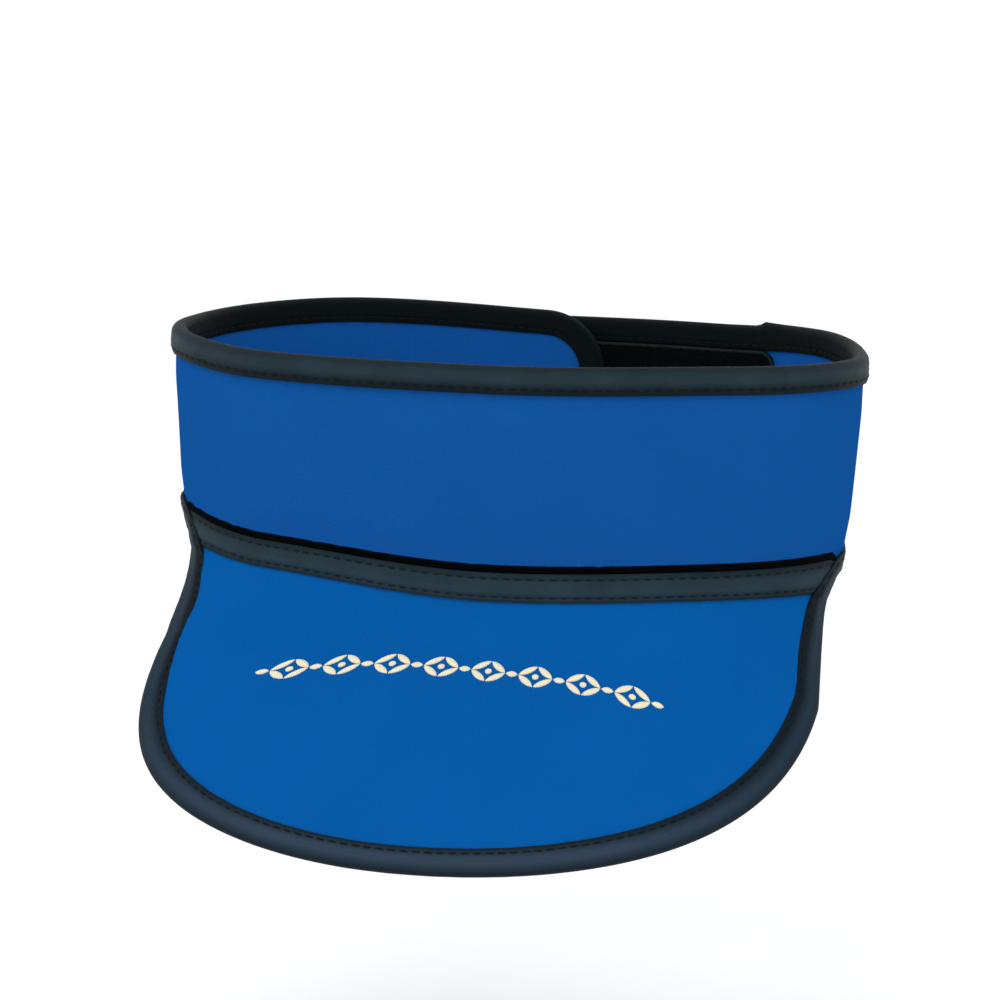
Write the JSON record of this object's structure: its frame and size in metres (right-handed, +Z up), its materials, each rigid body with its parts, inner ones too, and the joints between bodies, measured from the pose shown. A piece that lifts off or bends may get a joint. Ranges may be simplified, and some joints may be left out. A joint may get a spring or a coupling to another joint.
{
  "type": "thyroid shield collar",
  "caption": "Padded collar that closes behind the neck with hook and loop, with a flared rounded bib over the throat and upper chest; blue cover with black bound edges.",
  "frame": {"origin": "middle of the neck opening, level with the bottom edge of the neck band, where the collar sits on the shoulders", "axes": "+Z up along the wearer's neck, -Y to the wearer's front, +X to the right of someone who faces the collar"},
  "size_m": [0.1952, 0.1812, 0.1276],
  "materials": {
    "band_fabric": "matte blue woven cover",
    "bib_fabric": "matte blue woven cover",
    "binding_tape": "black woven bias tape",
    "closure": "black hook and loop pile"
  },
  "bodies": {
    "root": {"neck_band": "band_fabric", "neck_binding": "binding_tape", "seam_tape": "binding_tape", "bib": "bib_fabric", "bib_binding": "binding_tape", "hook_panel": "closure", "loop_panel": "closure"}
  },
  "joints": []
}
